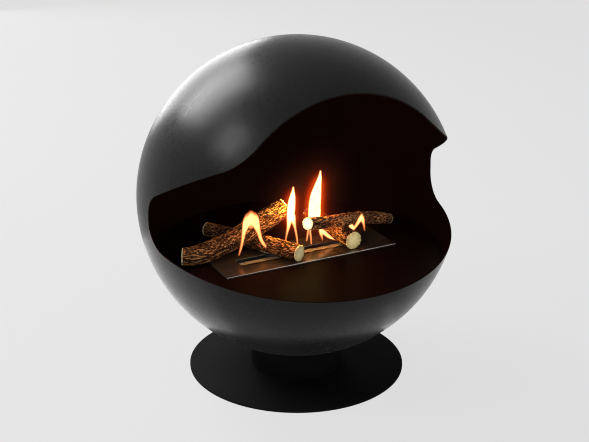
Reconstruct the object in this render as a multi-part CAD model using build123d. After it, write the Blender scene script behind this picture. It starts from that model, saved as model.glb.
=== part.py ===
"""Floor-standing ball fireplace with a slot burner and loose ceramic logs.

Millimetres. +Z is up, the front (the opening) faces -Y and the burner's long side runs along X.
The origin is on the floor, under the middle of the base. Each separate piece is one STEP file.
"""
from build123d import *
import math
import os

os.makedirs("parts", exist_ok=True)

# Foot
BASE_R = 232.5
PAD_T = 1.5              # rubber disc under the base plate
PAD_INSET = 6.5          # base plate's rim past the rubber
BASE_T = 5.0
BASE_EDGE = 0.6          # chamfer round the plate's rim

# Neck between base and ball
NECK_R = 98.5            # outside of the tube
NECK_WALL = 3.0
NECK_H = 48.0            # from the base plate up to the ball's lowest point
FLANGE_BORE_R = 30.0
FLANGE_T = 8.0
DISH_T = 4.0             # dished plate that closes the tube against the ball
DISH_BORE_R = 32.0
SADDLE_INSET = 10.5      # plate inside the ball, inside the tube's outer radius
SADDLE_T = 4.0
WELD_GAP = 0.05          # between pieces welded together

# Ball
BALL_R = 335.0
SHELL_T = 3.0

# Opening, as it looks from the side: a straight front cut, a brow that slopes
# down towards the back, a rounded nose, and a sill that slopes down to the front
CUT_FRONT_Y = -197.5
BROW_SLOPE = 29.3
BROW_Z0 = 48.0           # height of the brow line over the ball's centre at y = 0
BROW_R = 57.0            # rounding between front cut and brow
SILL_SLOPE = 10.2
SILL_Z0 = -47.7
NOSE_Y = 2.0
NOSE_TOP_R = 45.0
NOSE_SILL_R = 60.0
CUT_OVER = 20.0          # how far the cutter runs past the ball

# Hearth plate and its brackets
HEARTH_DROP = 123.0      # hearth's top below the ball's centre
HEARTH_T = 3.0
HEARTH_CLEAR = 2.66      # between the plate's rim and the ball
BRACKET_COUNT = 6
BRACKET_W = 30.0
BRACKET_T = 3.0
BRACKET_LAP = 22.5       # how far a bracket reaches under the plate
BRACKET_RIB_H = 28.0

# Burner, whose top plate comes out at the stock 400 x 120 mm
BURNER_Y = -16.0         # middle of the burner along Y
SLOT_L = 292.0
SLOT_W = 30.0
SLOT_CORNER_R = 1.5
PLATE_H = 4.0            # over the folded lip
PLATE_LAP_L = 14.0       # plate's end past the box
PLATE_LAP_W = 7.0
SHEET_T = 2.0
PLATE_CORNER_R = 2.5
BOX_H = 60.0
BOX_WALL = 1.5
BOX_CORNER_R = 4.0
BOX_CLEAR = 2.0          # burner box in the hearth's cut-out, each side
TANK_END_GAP = 14.5      # between tank and box
TANK_SIDE_GAP = 8.5
TANK_WALL = 1.2
FIBRE_CLEAR = 0.4
FIBRE_DROP = 2.0         # top of the fibre under the tank's rim
MESH_T = 1.0
MESH_CLEAR = 10.5        # between mesh and damper rails
MESH_HOLE_R = 2.0
MESH_PITCH = 14.0
MESH_END_EDGE = 23.0     # from the mesh plate's edge to its outer holes' middles
MESH_SIDE_EDGE = 15.0

# Damper, a strip that slides across the slot just under the plate
DAMPER_T = 1.5
DAMPER_LAP = 2.0         # past the slot's edge when closed
DAMPER_END_LAP = 10.0    # past the slot's ends
DAMPER_GAP = 0.3         # under the plate
DAMPER_REST = 2.0        # far edge as stored, past the slot's middle
HOOK_R = 2.5
HOOK_X = -53.0
HOOK_IN = 8.0            # hook hole behind the far edge
RAIL_T = 1.5
RAIL_SHELF = 10.0
RAIL_END_CLEAR = 0.3     # between a rail's end and the box's wall
RAIL_SIDE_SPACE = 26.5   # between a rail and the box's end wall
RAIL_SIDE_GAP = 0.5
RAIL_UNDER_GAP = 0.2
STOP_GAP = 0.2
STOP_L = 2.0

# Fasteners, plain shanks and holes in place of threads
CSK_COUNT = 4
CSK_EDGE = 17.5          # screws inside the tube's bore
CSK_HEAD_R = 8.0
CSK_HEAD_H = 4.0
CSK_SHORT = 0.7          # screw's end below the flange's top
CSK_SOCKET_R = 2.9
CSK_SOCKET_DEPTH = 2.4
M8_R = 3.9
TAPPED_R = 4.0
THROUGH_R = 4.5
CSK_CLEAR = 0.2
BOLT_COUNT = 4
BOLT_EDGE = 35.5         # bolts inside the tube's bore
BOLT_PROUD = 3.0         # bolt's end past its nut
HEX_AF = 13.0
HEAD_H = 5.3
NUT_H = 6.5
WASHER_R = 8.0
WASHER_BORE_R = 4.2
WASHER_T = 1.6
SEAT_GAP = 0.02

# Logs: stations along each centre line, x, distance behind the burner's middle,
# height over the burner's plate, radius
LOG_A = (
    (-249.6, 41.0, 18.7, 18.5),
    (-235.0, 38.5, 18.1, 20.0),
    (-206.1, 35.5, 20.7, 21.0),
    (-163.9, 36.0, 31.1, 21.6),
    (-124.5, 37.5, 42.8, 22.0),
    (-88.9, 38.5, 57.7, 22.2),
    (-57.2, 39.0, 70.6, 22.2),
    (-16.8, 39.0, 87.7, 21.3),
)
LOG_B = (
    (-144.1, 161.8, 18.0, 15.3),
    (-88.0, 61.0, 18.3, 17.6),
    (-55.0, 1.0, 18.3, 17.9),
    (-30.1, -52.3, 18.1, 17.5),
)
LOG_C = (
    (-2.2, -34.4, 73.0, 13.3),
    (17.9, -38.0, 72.0, 13.6),
    (47.1, -33.2, 67.2, 13.8),
    (99.7, -12.4, 56.1, 14.3),
    (166.9, 23.4, 36.5, 14.3),
    (215.0, 38.8, 22.4, 13.4),
    (253.7, 55.3, 8.3, 12.0),
)
LOG_D = (
    (93.7, 131.0, 20.0, 18.5),
    (98.0, 46.0, 20.4, 19.8),
    (103.0, -47.0, 20.0, 19.5),
)

# Derived sizes of foot and neck
pad_r = BASE_R - PAD_INSET
base_top = PAD_T + BASE_T
neck_in_r = NECK_R - NECK_WALL
saddle_r = NECK_R - SADDLE_INSET
csk_pitch_r = neck_in_r - CSK_EDGE
csk_length = BASE_T + FLANGE_T - CSK_SHORT
bolt_pitch_r = neck_in_r - BOLT_EDGE
bolt_angle = math.degrees(math.asin(bolt_pitch_r / BALL_R))

# Derived sizes of ball and hearth
ball_z = base_top + NECK_H + BALL_R
inner_r = BALL_R - SHELL_T
hearth_top = ball_z - HEARTH_DROP
hearth_under = hearth_top - HEARTH_T
hearth_r = math.sqrt(inner_r ** 2 - (ball_z - hearth_under) ** 2) - HEARTH_CLEAR
bracket_in_r = hearth_r - BRACKET_LAP

# Derived heights of the burner
plate_top = hearth_top + PLATE_H
sheet_under = plate_top - SHEET_T
box_floor = sheet_under - BOX_H
tank_floor = box_floor + BOX_WALL
damper_top = sheet_under - DAMPER_GAP
damper_under = damper_top - DAMPER_T
shelf_top = damper_under - RAIL_UNDER_GAP
mesh_top = shelf_top - RAIL_T - MESH_CLEAR
tank_top = mesh_top - MESH_T

# Derived sizes of damper, rails, box, plate and tank
slot_near_y = BURNER_Y - SLOT_W / 2
slot_far_y = BURNER_Y + SLOT_W / 2
damper_w = SLOT_W + 2 * DAMPER_LAP
damper_l = SLOT_L + 2 * DAMPER_END_LAP
damper_rest_y = BURNER_Y + DAMPER_REST
damper_close = slot_far_y + DAMPER_LAP - damper_rest_y
damper_open = damper_rest_y - slot_near_y
web_in = damper_l / 2 + RAIL_SIDE_GAP
web_out = web_in + RAIL_T
rail_front = damper_rest_y - damper_w - damper_open - STOP_GAP - STOP_L
rail_back = damper_rest_y + damper_close + STOP_GAP + STOP_L
box_l = 2 * (web_out + RAIL_SIDE_SPACE + BOX_WALL)
box_w = 2 * (BURNER_Y - rail_front + RAIL_END_CLEAR + BOX_WALL)
plate_l = box_l + 2 * PLATE_LAP_L
plate_w = box_w + 2 * PLATE_LAP_W
tank_l = box_l - 2 * (BOX_WALL + TANK_END_GAP)
tank_w = box_w - 2 * (BOX_WALL + TANK_SIDE_GAP)
mesh_columns = int((tank_l - 2 * MESH_END_EDGE) / MESH_PITCH) + 1
mesh_rows = int((tank_w - 2 * MESH_SIDE_EDGE) / MESH_PITCH) + 1
print("burner plate", plate_l, plate_w, "damper travel", -damper_open, damper_close)


def ball(radius):
    """Solid sphere about the ball's centre."""
    return Pos(0, 0, ball_z) * Sphere(radius)


def tube(radius, bore, low, high):
    """Ring about the Z axis between two heights."""
    ring = Circle(radius) - Circle(bore)
    return extrude(Pos(0, 0, low) * ring, high - low)


def disc(radius, low, high):
    """Disc about the Z axis between two heights."""
    return extrude(Pos(0, 0, low) * Circle(radius), high - low)


def slab(length, width, low, high, corner):
    """Flat block with rounded upright corners, centred on the burner's middle."""
    face = RectangleRounded(length, width, corner) if corner > 0 else Rectangle(length, width)
    return extrude(Pos(0, BURNER_Y, low) * face, high - low)


def cap_piece(outer, inner, radius, bore):
    """Piece of a spherical shell round the ball's lowest point."""
    rough = ball(outer) - ball(inner)
    column = disc(radius, 0, ball_z - inner / 2)
    if bore > 0:
        column -= disc(bore, 0, ball_z - inner / 2)
    return rough & column


def around(shape, count, first):
    """Copies of a shape at equal angles about Z."""
    return [Rot(0, 0, first + 360.0 * n / count) * shape for n in range(count)]


def radial(shape):
    """Turns a shape built along -Z from the ball's centre onto a bolt's line."""
    return Pos(0, 0, ball_z) * Rot(0, -bolt_angle, 0) * shape


def bolt_holes(radius):
    """Cutters for the bolts that join ball and neck."""
    length = 2 * (SADDLE_T + SHELL_T + DISH_T)
    drill = Pos(0, 0, -BALL_R) * Cylinder(radius, length)
    return around(radial(drill), BOLT_COUNT, 45)


def cut_all(body, cutters):
    """Subtracts a list of cutters one after the other."""
    for cutter in cutters:
        body = body - cutter
    return body


def opening_cutter():
    """The opening's side profile, run right through the ball along X."""
    brow = math.tan(math.radians(BROW_SLOPE))
    sill = math.tan(math.radians(SILL_SLOPE))
    far_y = -BALL_R - CUT_OVER
    top_z = BALL_R + CUT_OVER
    corner_brow = (CUT_FRONT_Y, BROW_Z0 - brow * CUT_FRONT_Y)
    corner_nose = (NOSE_Y, BROW_Z0 - brow * NOSE_Y)
    corner_sill = (NOSE_Y, SILL_Z0 + sill * NOSE_Y)
    front_sill = (far_y, SILL_Z0 + sill * far_y)
    profile = Polygon(
        (CUT_FRONT_Y, top_z),
        corner_brow,
        corner_nose,
        corner_sill,
        front_sill,
        (far_y, top_z),
        align=None,
    )
    for point, radius in (
        (corner_brow, BROW_R),
        (corner_nose, NOSE_TOP_R),
        (corner_sill, NOSE_SILL_R),
    ):
        corner = profile.vertices().sort_by_distance((point[0], point[1], 0))[0]
        profile = fillet(corner, radius)
    return Pos(0, 0, ball_z) * extrude(Plane.YZ * profile, BALL_R + CUT_OVER, both=True)


def make_log(stations):
    """Bent round log lofted through its stations, with flat ends."""
    points = [Vector(x, BURNER_Y + y, plate_top + h) for x, y, h, _ in stations]
    sections = []
    for n, point in enumerate(points):
        before = points[max(n - 1, 0)]
        after = points[min(n + 1, len(points) - 1)]
        plane = Plane(origin=point, z_dir=(after - before).normalized())
        sections.append(plane * Circle(stations[n][3]))
    return loft(sections)


# Foot
floor_pad = disc(pad_r, 0, PAD_T)

csk_seat = Cone(CSK_HEAD_R + CSK_CLEAR, TAPPED_R + CSK_CLEAR, CSK_HEAD_H)
csk_seat = Pos(csk_pitch_r, 0, PAD_T + CSK_HEAD_H / 2) * csk_seat
csk_hole = Pos(csk_pitch_r, 0, base_top) * Cylinder(THROUGH_R, 2 * BASE_T)
base_plate = disc(BASE_R, PAD_T, base_top)
rim_edges = base_plate.edges().filter_by(GeomType.CIRCLE)
base_plate = chamfer(rim_edges, BASE_EDGE)
base_plate = cut_all(base_plate, around(csk_seat, CSK_COUNT, 0))
base_plate = cut_all(base_plate, around(csk_hole, CSK_COUNT, 0))

screw_head = Cone(CSK_HEAD_R, M8_R, CSK_HEAD_H)
screw_head = Pos(0, 0, CSK_HEAD_H / 2) * screw_head
screw_shank = Pos(0, 0, csk_length / 2) * Cylinder(M8_R, csk_length)
screw_socket = extrude(RegularPolygon(CSK_SOCKET_R, 6), CSK_SOCKET_DEPTH)
base_screw = Pos(csk_pitch_r, 0, PAD_T) * (screw_head + screw_shank - screw_socket)
base_screws = Compound(children=around(base_screw, CSK_COUNT, 0))

# Neck
neck_flange = tube(neck_in_r - WELD_GAP, FLANGE_BORE_R, base_top, base_top + FLANGE_T)
tapped = Pos(csk_pitch_r, 0, base_top + FLANGE_T / 2) * Cylinder(TAPPED_R, 2 * FLANGE_T)
neck_flange = cut_all(neck_flange, around(tapped, CSK_COUNT, 0))

neck_tube = tube(NECK_R, neck_in_r, base_top, ball_z - inner_r / 2)
neck_tube = neck_tube - ball(BALL_R + WELD_GAP)
neck_tube = neck_tube.solids().sort_by(Axis.Z)[0]

dish_in = BALL_R + WELD_GAP
dish_out = dish_in + DISH_T
neck_dish = cap_piece(dish_out, dish_in, neck_in_r - WELD_GAP, DISH_BORE_R)
neck_dish = cut_all(neck_dish, bolt_holes(THROUGH_R))

saddle_out = inner_r - WELD_GAP
saddle_in = saddle_out - SADDLE_T
saddle_plate = cap_piece(saddle_out, saddle_in, saddle_r, DISH_BORE_R)
saddle_plate = cut_all(saddle_plate, bolt_holes(THROUGH_R))

# Bolts through saddle, ball and dish, built along -Z from the ball's centre
washer_in_z = -math.sqrt(saddle_in ** 2 - WASHER_R ** 2) + SEAT_GAP
washer_out_z = -dish_out - SEAT_GAP
washer_face = Circle(WASHER_R) - Circle(WASHER_BORE_R)
washer_in = extrude(Pos(0, 0, washer_in_z) * washer_face, WASHER_T)
washer_out = extrude(Pos(0, 0, washer_out_z - WASHER_T) * washer_face, WASHER_T)
head_z = washer_in_z + WASHER_T
bolt_head = extrude(Pos(0, 0, head_z) * RegularPolygon(HEX_AF / 2, 6, major_radius=False), HEAD_H)
nut_z = washer_out_z - WASHER_T - NUT_H
bolt_length = head_z - nut_z + BOLT_PROUD
bolt_shank = Pos(0, 0, head_z - bolt_length / 2) * Cylinder(M8_R, bolt_length)
nut_face = RegularPolygon(HEX_AF / 2, 6, major_radius=False) - Circle(TAPPED_R)
nut = extrude(Pos(0, 0, nut_z) * nut_face, NUT_H)
saddle_bolts = Compound(children=around(radial(bolt_head + bolt_shank), BOLT_COUNT, 45))
saddle_washers = Compound(
    children=around(radial(washer_in), BOLT_COUNT, 45) + around(radial(washer_out), BOLT_COUNT, 45)
)
saddle_nuts = Compound(children=around(radial(nut), BOLT_COUNT, 45))

# Ball, two pressed halves joined at the equator, with the opening cut through both
cutter = opening_cutter()
full_shell = ball(BALL_R) - ball(inner_r)
half = 2 * (BALL_R + CUT_OVER)
upper_block = Pos(0, 0, ball_z + half / 2) * Box(half, half, half)
lower_block = Pos(0, 0, ball_z - half / 2) * Box(half, half, half)
upper_shell = (full_shell & upper_block) - cutter
lower_shell = (full_shell & lower_block) - cutter
lower_shell = cut_all(lower_shell, bolt_holes(THROUGH_R))

# Hearth
leg_len = BALL_R - bracket_in_r
leg = Pos(bracket_in_r + leg_len / 2, 0, hearth_under - BRACKET_T / 2) * Box(
    leg_len, BRACKET_W, BRACKET_T
)
rib_top = hearth_under - BRACKET_T
rib_face = Plane.XZ * Polygon(
    (bracket_in_r + BRACKET_T, rib_top),
    (BALL_R, rib_top),
    (BALL_R, rib_top - BRACKET_RIB_H),
    (bracket_in_r + BRACKET_T, rib_top - BRACKET_T),
    align=None,
)
rib = extrude(rib_face, BRACKET_T / 2, both=True)
bracket = (leg + rib) & ball(inner_r - WELD_GAP)
hearth_brackets = Compound(children=around(bracket, BRACKET_COUNT, 30))

hearth_plate = disc(hearth_r, hearth_under, hearth_top)
hearth_plate -= slab(
    box_l + 2 * BOX_CLEAR,
    box_w + 2 * BOX_CLEAR,
    hearth_under - HEARTH_T,
    hearth_top + HEARTH_T,
    BOX_CORNER_R + BOX_CLEAR,
)

# Burner
burner_plate = slab(plate_l, plate_w, hearth_top, plate_top, PLATE_CORNER_R)
burner_plate -= slab(plate_l - 2 * SHEET_T, plate_w - 2 * SHEET_T, hearth_top, sheet_under, 0)
burner_plate -= slab(SLOT_L, SLOT_W, hearth_top, plate_top, SLOT_CORNER_R)

burner_box = slab(box_l, box_w, box_floor, sheet_under, BOX_CORNER_R)
burner_box -= slab(
    box_l - 2 * BOX_WALL, box_w - 2 * BOX_WALL, tank_floor, sheet_under, BOX_CORNER_R - BOX_WALL
)

fuel_tank = slab(tank_l, tank_w, tank_floor, tank_top, BOX_CORNER_R)
fuel_tank -= slab(
    tank_l - 2 * TANK_WALL,
    tank_w - 2 * TANK_WALL,
    tank_floor + TANK_WALL,
    tank_top,
    BOX_CORNER_R - TANK_WALL,
)

fibre_pad = slab(
    tank_l - 2 * (TANK_WALL + FIBRE_CLEAR),
    tank_w - 2 * (TANK_WALL + FIBRE_CLEAR),
    tank_floor + TANK_WALL,
    tank_top - FIBRE_DROP,
    BOX_CORNER_R - TANK_WALL,
)

mesh_plate = slab(tank_l, tank_w, tank_top, tank_top + MESH_T, BOX_CORNER_R)
hole_grid = GridLocations(MESH_PITCH, MESH_PITCH, mesh_columns, mesh_rows)
mesh_holes = Sketch() + [place * Circle(MESH_HOLE_R) for place in hole_grid]
mesh_holes = Pos(0, BURNER_Y, tank_top) * mesh_holes
mesh_plate -= extrude(mesh_holes, MESH_T)

# Damper and its rails
damper_mid_y = damper_rest_y - damper_w / 2
damper = Pos(0, damper_mid_y, damper_top - DAMPER_T / 2) * Box(damper_l, damper_w, DAMPER_T)
hook = Pos(HOOK_X, damper_rest_y - HOOK_IN, damper_top) * Cylinder(HOOK_R, 4 * DAMPER_T)
damper_slide = damper - hook

rail_face = Plane.XZ * Polygon(
    (web_out, sheet_under),
    (web_out, shelf_top - RAIL_T),
    (web_out - RAIL_SHELF, shelf_top - RAIL_T),
    (web_out - RAIL_SHELF, shelf_top),
    (web_in, shelf_top),
    (web_in, sheet_under),
    align=None,
)
rail_mid_y = (rail_back + rail_front) / 2
rail = Pos(0, rail_mid_y, 0) * extrude(rail_face, (rail_back - rail_front) / 2, both=True)
stop = Box(RAIL_SHELF, STOP_L, sheet_under - shelf_top)
stop_x = web_out - RAIL_SHELF / 2
stop_z = (sheet_under + shelf_top) / 2
rail += Pos(stop_x, rail_front + STOP_L / 2, stop_z) * stop
rail += Pos(stop_x, rail_back - STOP_L / 2, stop_z) * stop
damper_rails = Compound(children=[rail, mirror(rail, Plane.YZ)])

# Logs
log_a = make_log(LOG_A)
log_b = make_log(LOG_B)
log_c = make_log(LOG_C)
log_d = make_log(LOG_D)

export_step(floor_pad, "parts/floor_pad.step")
export_step(base_plate, "parts/base_plate.step")
export_step(base_screws, "parts/base_screws.step")
export_step(neck_flange, "parts/neck_flange.step")
export_step(neck_tube, "parts/neck_tube.step")
export_step(neck_dish, "parts/neck_dish.step")
export_step(saddle_plate, "parts/saddle_plate.step")
export_step(saddle_bolts, "parts/saddle_bolts.step")
export_step(saddle_washers, "parts/saddle_washers.step")
export_step(saddle_nuts, "parts/saddle_nuts.step")
export_step(upper_shell, "parts/upper_shell.step")
export_step(lower_shell, "parts/lower_shell.step")
export_step(hearth_brackets, "parts/hearth_brackets.step")
export_step(hearth_plate, "parts/hearth_plate.step")
export_step(burner_plate, "parts/burner_plate.step")
export_step(burner_box, "parts/burner_box.step")
export_step(fuel_tank, "parts/fuel_tank.step")
export_step(fibre_pad, "parts/fibre_pad.step")
export_step(mesh_plate, "parts/mesh_plate.step")
export_step(damper_slide, "parts/damper_slide.step")
export_step(damper_rails, "parts/damper_rails.step")
export_step(log_a, "parts/log_a.step")
export_step(log_b, "parts/log_b.step")
export_step(log_c, "parts/log_c.step")
export_step(log_d, "parts/log_d.step")
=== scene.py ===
"""Looks for a floor-standing ball fireplace: coats, steel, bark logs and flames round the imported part."""

import logging
import math
from dataclasses import dataclass
from enum import Enum
from typing import Any, Callable, Iterable, NamedTuple, Sequence

import bmesh
import bpy
from mathutils import Matrix, Vector, noise

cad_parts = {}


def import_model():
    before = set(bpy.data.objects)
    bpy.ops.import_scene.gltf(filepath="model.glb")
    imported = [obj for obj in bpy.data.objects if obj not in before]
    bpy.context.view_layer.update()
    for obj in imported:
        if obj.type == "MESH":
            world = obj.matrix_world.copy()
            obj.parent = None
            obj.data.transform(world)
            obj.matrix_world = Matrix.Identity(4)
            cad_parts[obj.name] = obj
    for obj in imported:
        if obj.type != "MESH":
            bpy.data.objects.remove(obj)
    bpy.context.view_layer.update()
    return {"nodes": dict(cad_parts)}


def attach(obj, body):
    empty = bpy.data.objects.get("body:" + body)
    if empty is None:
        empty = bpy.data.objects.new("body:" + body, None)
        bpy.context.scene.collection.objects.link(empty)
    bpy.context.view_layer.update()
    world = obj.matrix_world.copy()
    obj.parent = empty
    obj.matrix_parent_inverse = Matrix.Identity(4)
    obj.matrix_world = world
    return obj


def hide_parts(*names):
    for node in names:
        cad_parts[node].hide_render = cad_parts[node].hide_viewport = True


LOG = logging.getLogger("fireplace")
MM = 0.001
Colour = tuple[float, float, float]
Point = tuple[float, float, float]
Mesh = bmesh.types.BMesh
Ring = list[bmesh.types.BMVert]

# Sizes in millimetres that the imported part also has
HEARTH_TOP = 266.5
BALL_CENTRE = 389.5
BALL_R = 335.0
WALL = 3.0
BURNER_Y = -16.0
SLOT_LENGTH = 292.0
SLOT_WIDTH = 30.0

# Band that holds nearly all values of a noise
NOISE_LOW, NOISE_HIGH = 0.3, 0.7

# Watts per square metre that give a soft box a radiance of 1
BOX_POWER = 4.0


class Body(Enum):
    """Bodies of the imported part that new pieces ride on."""

    BURNER = "burner"
    BACK_LEFT_LOG = "back_left_log"
    LEFT_FLOOR_LOG = "left_floor_log"
    FRONT_RIGHT_LOG = "front_right_log"
    RIGHT_FLOOR_LOG = "right_floor_log"


class Graph:
    """Node graph of a material or of the world."""

    def __init__(self, owner: bpy.types.Material | bpy.types.World, ending: str) -> None:
        """Empties the owner's graph but for its output.

        Args:
            owner: the material or the world.
            ending: type of the output node, without its ShaderNode prefix.
        """
        self.owner = owner
        self.owner.use_nodes = True
        self.tree = self.owner.node_tree
        self.tree.nodes.clear()
        self.output = self.add(ending)

    @classmethod
    def material(cls, name: str) -> "Graph":
        """Graph of a new material."""
        return cls(bpy.data.materials.new(name), "OutputMaterial")

    def add(self, kind: str, sockets: dict[Any, Any] | None = None, **settings: Any) -> Any:
        """Adds a node, sets its settings and fills or links its inputs.

        Args:
            kind: the node's type without its ShaderNode prefix.
            sockets: inputs by name or number, each a value or an output to link.
            settings: attributes of the node itself.

        Returns:
            The new node.
        """
        node = self.tree.nodes.new("ShaderNode" + kind)
        for key, value in settings.items():
            setattr(node, key, value)
        for key, value in (sockets or {}).items():
            self.fill(node.inputs[key], value)
        return node

    def fill(self, socket: Any, value: Any) -> None:
        """Links an output to a socket, or sets its value."""
        if isinstance(value, bpy.types.NodeSocket):
            self.tree.links.new(value, socket)
        else:
            socket.default_value = value

    def scaled(self, vector: Any, scale: Point) -> Any:
        """Vector with each part times a factor."""
        return self.add("Mapping", {"Vector": vector, "Scale": scale}).outputs["Vector"]

    def place(self, scale: Point = (1.0, 1.0, 1.0)) -> Any:
        """Object coordinates, with a factor along each axis."""
        return self.scaled(self.add("TexCoord").outputs["Object"], scale)

    def stored(self, name: str, output: str = "Fac") -> Any:
        """Output of an attribute that the mesh holds."""
        return self.add("Attribute", attribute_name=name).outputs[output]

    def noise(self, vector: Any, scale: float, detail: float = 2.0, rough: float = 0.5) -> Any:
        """Noise between 0 and 1: where, repeats per metre, octaves and weight of the finer ones."""
        sockets = {"Vector": vector, "Scale": scale, "Detail": detail, "Roughness": rough}
        return self.add("TexNoise", sockets).outputs[0]

    def spread(self, value: Any, low: float, high: float, to_low: float = 0.0, to_high: float = 1.0) -> Any:
        """Maps a value's band, from low to high, to another band, clamped."""
        return self.add("MapRange", {0: value, 1: low, 2: high, 3: to_low, 4: to_high}).outputs[0]

    def vary(self, value: Any, to_low: float, to_high: float) -> Any:
        """Maps a noise to a band."""
        return self.spread(value, NOISE_LOW, NOISE_HIGH, to_low, to_high)

    def math(self, operation: str, first: Any, second: Any = 0.0) -> Any:
        """One arithmetic step, such as MULTIPLY."""
        return self.add("Math", {0: first, 1: second}, operation=operation).outputs[0]

    def blend(self, share: Any, first: Any, second: Any) -> Any:
        """Mixes two colours or outputs by the second one's share."""
        mix = self.add("Mix", data_type="RGBA")
        for number, value in ((0, share), (6, first), (7, second)):
            self.fill(mix.inputs[number], (*value, 1.0) if isinstance(value, tuple) else value)
        return mix.outputs[2]

    def bump(self, height: Any, distance: float, normal: Any = None) -> Any:
        """Bump from a height whose 1 stands for a distance in metres, over an earlier normal."""
        sockets = {"Height": height, "Distance": distance, "Strength": 1.0}
        if normal is not None:
            sockets["Normal"] = normal
        return self.add("Bump", sockets).outputs[0]

    def plain_share(self) -> Any:
        """1 for rays from the camera, off a gloss or through glass, which see the plain background."""
        path = self.add("LightPath").outputs
        share = self.math("MAXIMUM", path["Is Camera Ray"], path["Is Glossy Ray"])
        return self.math("MAXIMUM", share, path["Is Transmission Ray"])

    def mix(self, share: Any, first: Any, second: Any) -> Any:
        """Mixes two shader nodes."""
        return self.add("MixShader", {0: share, 1: first.outputs[0], 2: second.outputs[0]})

    def finish(self, shader: Any) -> bpy.types.Material | bpy.types.World:
        """Links the last shader to the output and returns the graph's owner."""
        self.tree.links.new(shader.outputs[0], self.output.inputs["Surface"])
        return self.owner

    def coat(self, sockets: dict[str, Any]) -> bpy.types.Material:
        """Finishes an opaque material with the sockets of its shader."""
        return self.finish(self.add("BsdfPrincipled", sockets))

    def gas(self, cover: Any, colour: Any, strength: Any) -> bpy.types.Material:
        """Finishes a material that glows where it has cover and is clear elsewhere."""
        light = self.add("Emission", {"Color": colour, "Strength": strength})
        return self.finish(self.mix(cover, self.add("BsdfTransparent"), light))


@dataclass(frozen=True)
class PowderCoat:
    """Baked powder coat with a fine grain."""

    name: str
    colour: Colour
    fleck: Colour
    roughness: float
    specular: float
    grain: float = 620.0
    grain_height: float = 0.00009
    wave_height: float = 0.00012
    sheen: float = 0.0
    fleck_band: tuple[float, float] = (0.35, 0.7)

    def build(self) -> bpy.types.Material:
        """Returns the material."""
        graph = Graph.material(self.name)
        place = graph.place()
        fine = graph.noise(place, self.grain, 2.0, 0.6)
        coarse = graph.noise(place, self.grain / 6.0, 3.0)
        wear = graph.vary(graph.noise(place, 9.0), -0.03, 0.03)
        gloss = graph.vary(coarse, self.roughness - 0.03, self.roughness + 0.04)
        sockets = {
            "Base Color": graph.blend(graph.spread(fine, *self.fleck_band), self.colour, self.fleck),
            "Roughness": graph.math("ADD", gloss, wear),
            "Normal": graph.bump(fine, self.grain_height, graph.bump(coarse, self.wave_height)),
            "Specular IOR Level": self.specular,
            "Sheen Weight": self.sheen,
            "Sheen Roughness": 0.3,
        }
        return graph.coat(sockets)


@dataclass(frozen=True)
class SheetSteel:
    """Rolled or brushed steel sheet with lines along one axis."""

    name: str
    colour: Colour
    tint: Colour
    roughness: float
    lines: Point = (6.0, 260.0, 260.0)
    line_height: float = 0.00002
    heat: float = 0.5
    metal: float = 1.0
    # Painted shade: reach in metres, share and colour of the darker band painted in front of the burner's
    # slot
    painted_shade_reach: float = 0.0
    painted_shade_cover: float = 0.85
    painted_shade_colour: Colour = (0.012, 0.009, 0.007)

    def paint_slot_shade(self, graph: Graph, colour: Any) -> Any:
        """Paints shade on a colour: a darker band in front of the burner's slot, where the slot's near edge
        throws its shadow.
        """
        parts = graph.add("SeparateXYZ", {0: graph.place()}).outputs
        front = (BURNER_Y - SLOT_WIDTH / 2) * MM
        end = (SLOT_LENGTH / 2 + 1.0) * MM
        ahead = graph.spread(parts["Y"], front - self.painted_shade_reach, front - 0.7 * self.painted_shade_reach, 0.0, self.painted_shade_cover)
        behind = graph.spread(parts["Y"], front + 0.5 * MM, front + 1.5 * MM, 1.0, 0.0)
        sides = graph.spread(graph.math("ABSOLUTE", parts["X"]), end, end + 3.0 * MM, 1.0, 0.0)
        painted_shade_share = graph.math("MULTIPLY", graph.math("MULTIPLY", ahead, behind), sides)
        return graph.blend(painted_shade_share, colour, self.painted_shade_colour)

    def build(self) -> bpy.types.Material:
        """Returns the material."""
        graph = Graph.material(self.name)
        brushed = graph.noise(graph.place(self.lines), 6.0, 4.0, 0.65)
        stains = graph.noise(graph.place(), 14.0, 4.0, 0.6)
        tinted = graph.blend(graph.spread(stains, 0.35, 0.75, 0.0, self.heat), self.colour, self.tint)
        colour = graph.blend(graph.vary(brushed, 0.75, 1.0), (0.0, 0.0, 0.0), tinted)
        # Painted shade in front of the slot
        if self.painted_shade_reach > 0.0:
            colour = self.paint_slot_shade(graph, colour)
        gloss = graph.vary(brushed, self.roughness - 0.05, self.roughness + 0.07)
        sockets = {
            "Base Color": colour,
            "Metallic": self.metal,
            "Roughness": graph.math("ADD", gloss, graph.vary(stains, -0.04, 0.06)),
            "Normal": graph.bump(brushed, self.line_height),
        }
        return graph.coat(sockets)


@dataclass(frozen=True)
class Matt:
    """Matt solid such as rubber or ceramic wool."""

    name: str
    colour: Colour
    fleck: Colour
    scale: float
    stretch: Point = (1.0, 1.0, 1.0)
    roughness: float = 0.85
    height: float = 0.0004

    def build(self) -> bpy.types.Material:
        """Returns the material."""
        graph = Graph.material(self.name)
        value = graph.noise(graph.place(self.stretch), self.scale, 4.0, 0.6)
        sockets = {
            "Base Color": graph.blend(graph.spread(value, 0.35, 0.65), self.colour, self.fleck),
            "Roughness": graph.vary(value, self.roughness - 0.06, self.roughness + 0.06),
            "Normal": graph.bump(value, self.height),
        }
        return graph.coat(sockets)


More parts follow.
